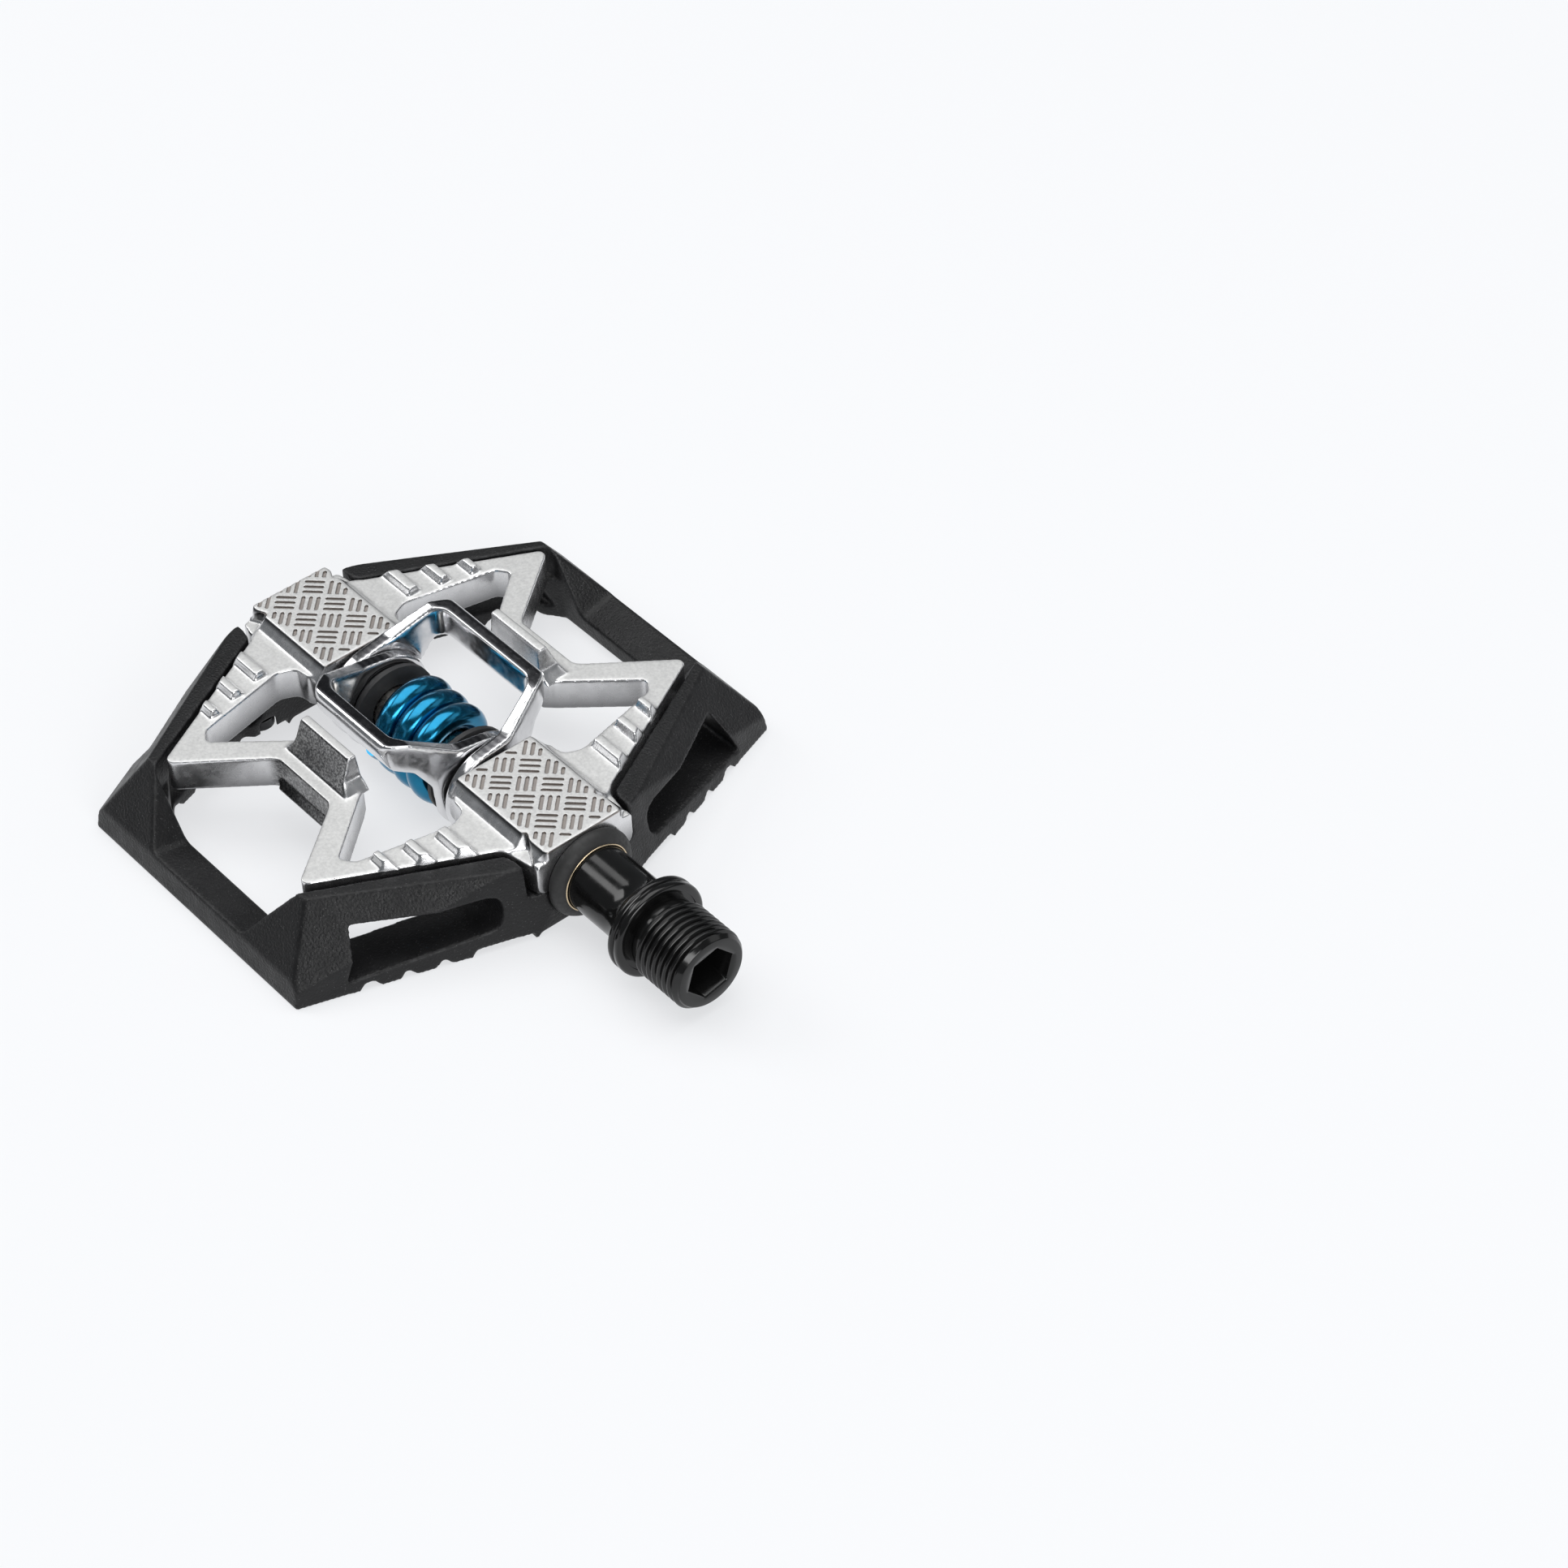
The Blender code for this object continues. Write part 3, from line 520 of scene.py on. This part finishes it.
def rubber_seal(material):
    """The collar round the spindle neck: a bulging rubber ring."""
    profile = [(41.55, 6.1), (41.55, 7.8), (41.9, 8.05), (42.4, 8.1), (42.9, 7.98)]
    profile += [(43.35, 7.7), (43.7, 7.3), (43.95, 6.85), (44.1, 6.45), (44.1, 6.1)]
    mesh = lathe("rubber_seal", [(x, circle(radius)) for x, radius in profile], 96, closed=True)
    mesh.shade_smooth()
    mesh.set_sharp_from_angle(angle=math.radians(50))
    return piece("rubber_seal", mesh, material, "pedal_body", "crank_side_seal")


def shield_ring(material):
    """The thin warm metal ring between the seal and the neck."""
    profile = [(43.9, 6.03), (43.9, 6.3), (44.16, 6.3), (44.24, 6.2), (44.24, 6.08), (44.16, 6.03)]
    mesh = lathe("shield_ring", [(x, circle(radius)) for x, radius in profile], 96, closed=True)
    mesh.shade_smooth()
    return piece("shield_ring", mesh, material, "pedal_body", "seal_shield")


def slot_prism(middle, angle, length):
    """Corners of one round-ended slot, low ring then high ring, and the faces between them."""
    ring = []
    for end in (1, -1):
        for step in range(5):
            turn = math.radians(-90 + 45 * step + (0 if end > 0 else 180))
            u = end * (length - SLOT_WIDTH_MM) / 2 + SLOT_WIDTH_MM / 2 * math.cos(turn)
            v = SLOT_WIDTH_MM / 2 * math.sin(turn)
            ring.append(Vector(middle) + Matrix.Rotation(angle, 2) @ Vector((u, v)))
    points = []
    for z in (PAD_TOP_MM - SLOT_DEPTH_MM, PAD_TOP_MM + 1):
        points += [(corner.x * MM, corner.y * MM, z * MM) for corner in ring]
    count = len(ring)
    faces = [tuple(reversed(range(count))), tuple(range(count, 2 * count))]
    faces += [(i, (i + 1) % count, (i + 1) % count + count, i + count) for i in range(count)]
    return points, faces


def clipped(middle, angle):
    """The part of a slot that lies on the pad, as its middle and length, or None if too little does."""
    along = Vector((math.cos(angle), math.sin(angle)))
    kept = []
    for step in range(-10, 11):
        spot = middle + along * SLOT_LENGTH_MM * step / 20
        if abs(spot.x) <= PAD_HALF_LENGTH_MM - 0.5 and abs(spot.y) <= PAD_HALF_WIDTH_MM - 0.45:
            kept.append(spot)
    if len(kept) < 8:
        return None
    return (kept[0] + kept[-1]) / 2, (kept[-1] - kept[0]).length


def weave_slots(centre_mm):
    """Slots of one pad's basket weave: three to a cell, turned a quarter from each cell to the next."""
    points = []
    faces = []
    reach = 5
    for i in range(-reach, reach):
        for j in range(-reach, reach):
            along = (i + j) % 2 == 0
            for row in (-1, 0, 1):
                shift = row * SLOT_PITCH_MM
                u = (i + 0.5) * WEAVE_CELL_MM + (0 if along else shift)
                v = (j + 0.5) * WEAVE_CELL_MM + (shift if along else 0)
                spot = Matrix.Rotation(math.pi / 4, 2) @ Vector((u, v))
                angle = math.pi / 4 + (0 if along else math.pi / 2)
                inside = clipped(spot, angle)
                if inside:
                    middle, length = inside
                    more, skin = slot_prism((centre_mm + middle.x, middle.y), angle, length)
                    faces += [tuple(corner + len(points) for corner in face) for face in skin]
                    points += more
    return points, faces


def cut_pad_weave(chassis):
    """Sinks the weave into both pads. The cutter itself is never shown."""
    points = []
    faces = []
    for side in (1, -1):
        more, skin = weave_slots(X_MIDDLE_MM + side * (PAD_INNER_MM + PAD_HALF_LENGTH_MM))
        faces += [tuple(corner + len(points) for corner in face) for face in skin]
        points += more
    mesh = bpy.data.meshes.new("pad_weave")
    mesh.from_pydata(points, [], faces)
    cutter = bpy.data.objects.new("pad_weave", mesh)
    bpy.context.scene.collection.objects.link(cutter)
    cutter.hide_render = True
    cut = chassis.modifiers.new("pad_weave", "BOOLEAN")
    cut.operation = "DIFFERENCE"
    cut.solver = "EXACT"
    cut.object = cutter


def dress(nodes, material, *names):
    for name in names:
        nodes[name].data.materials.clear()
        nodes[name].data.materials.append(material)


def camera():
    data = bpy.data.cameras.new("camera")
    data.lens = CAMERA_LENS
    data.sensor_width = 36
    data.clip_start = 0.05
    data.clip_end = 20
    seat = bpy.data.objects.new("camera", data)
    bpy.context.scene.collection.objects.link(seat)
    turn = Matrix.Rotation(math.radians(CAMERA_AZIMUTH), 4, "Z")
    tilt = Matrix.Rotation(math.radians(90 - CAMERA_ELEVATION), 4, "X")
    roll = Matrix.Rotation(math.radians(CAMERA_ROLL), 4, "Z")
    seat.matrix_world = Matrix.Translation(CAMERA_AT) @ turn @ tilt @ roll
    bpy.context.scene.camera = seat


def floor():
    """A pale plain floor, wide enough that its edge is never in view."""
    mesh = bpy.data.meshes.new("floor")
    reach = 6.0
    corners = [(-reach, -reach, 0), (reach, -reach, 0), (reach, reach, 0), (-reach, reach, 0)]
    mesh.from_pydata(corners, [], [(0, 1, 2, 3)])
    ground = bpy.data.objects.new("floor", mesh)
    bpy.context.scene.collection.objects.link(ground)
    look = Look("pale_floor", (0.26, 0.262, 0.266), 0.0, 0.9, Specular_IOR_Level=0.1)
    look.feed("Roughness", look.ramp(look.noise(40), 0.3, 0.7, 0.85, 0.95))
    look.shader.inputs["Emission Color"].default_value = (0.97, 0.98, 1.0, 1)
    look.shader.inputs["Emission Strength"].default_value = FLOOR_GLOW
    mesh.materials.append(look.material)


def softbox(name, azimuth, elevation, distance, width, height, power):
    """A rectangular soft light that faces the pedal. Its azimuth is where it stands, seen from above."""
    data = bpy.data.lights.new(name, "AREA")
    data.shape = "RECTANGLE"
    data.size = width
    data.size_y = height
    data.energy = power
    lamp = bpy.data.objects.new(name, data)
    bpy.context.scene.collection.objects.link(lamp)
    a = math.radians(azimuth)
    e = math.radians(elevation)
    lamp.location = Vector((math.cos(a) * math.cos(e), math.sin(a) * math.cos(e), math.sin(e))) * distance
    lamp.rotation_mode = "QUATERNION"
    lamp.rotation_quaternion = lamp.location.to_track_quat("Z", "Y")


def studio():
    world = bpy.data.worlds.new("studio")
    world.use_nodes = True
    background = world.node_tree.nodes["Background"]
    background.inputs["Color"].default_value = (0.9, 0.95, 1.0, 1)
    background.inputs["Strength"].default_value = 0.16
    bpy.context.scene.world = world
    bpy.context.scene.view_settings.view_transform = "Standard"
    softbox("overhead", 120, 82, 1.6, 1.9, 1.7, 25)
    softbox("front", -15, 26, 1.8, 1.1, 0.7, 15)
    softbox("right", 55, 32, 1.8, 0.9, 0.7, 1.5)
    softbox("left_back", 205, 38, 1.8, 0.8, 0.8, 8)


def dress_all(nodes, rubber, warm):
    """Gives every CAD node its finish."""
    dress(nodes, cast_black(), "cage")
    dress(nodes, cast_silver(), "chassis")
    dress(nodes, polished_steel(), "wing_inner", "wing_outer")
    dress(nodes, black_plastic(), "pivot_sleeve_crank", "pivot_sleeve_cap")
    dress(nodes, rubber, "crank_side_seal", "end_cap_o_ring")
    dress(nodes, warm, "seal_shield")
    dress(nodes, cap_silver(), "end_cap")
    dress(nodes, bare_steel("bronze", (0.6, 0.42, 0.2)), "plain_bush")
    hidden = ["hub_tube", "bearing_outer_race", "bearing_inner_race", "spindle_washer", "spindle_locknut"]
    dress(nodes, bare_steel(), *hidden, *(f"bearing_ball_{i}" for i in range(1, 9)))
    dress(nodes, screw_black(), *(f"cage_screw_{i}" for i in range(1, 5)))


def round_all(nodes):
    """Softens the edges of the cast and pressed parts, and shades the turned ones smoothly."""
    cast_edges(nodes["cage"], 0.3, 9)
    cast_edges(nodes["chassis"], 0.24, 9)
    cut_pad_weave(nodes["chassis"])
    pressed_edges(nodes["wing_inner"], 0.24, 44, 7)
    pressed_edges(nodes["wing_outer"], 0.24, 44, 7)
    smooth_faces(nodes["end_cap"], 0.15)
    done = ("cage", "chassis", "wing_inner", "wing_outer", "end_cap")
    for name, thing in nodes.items():
        if name not in done:
            smooth_faces(thing)


def main():
    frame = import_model()
    rubber = black_rubber()
    warm = bare_steel("warm_steel", (0.62, 0.5, 0.34))
    dress_all(frame["nodes"], rubber, warm)
    round_all(frame["nodes"])
    rubber_seal(rubber)
    shield_ring(warm)
    spring_coil(blue_steel())
    threaded_spindle(gloss_black())
    camera()
    floor()
    studio()


main()
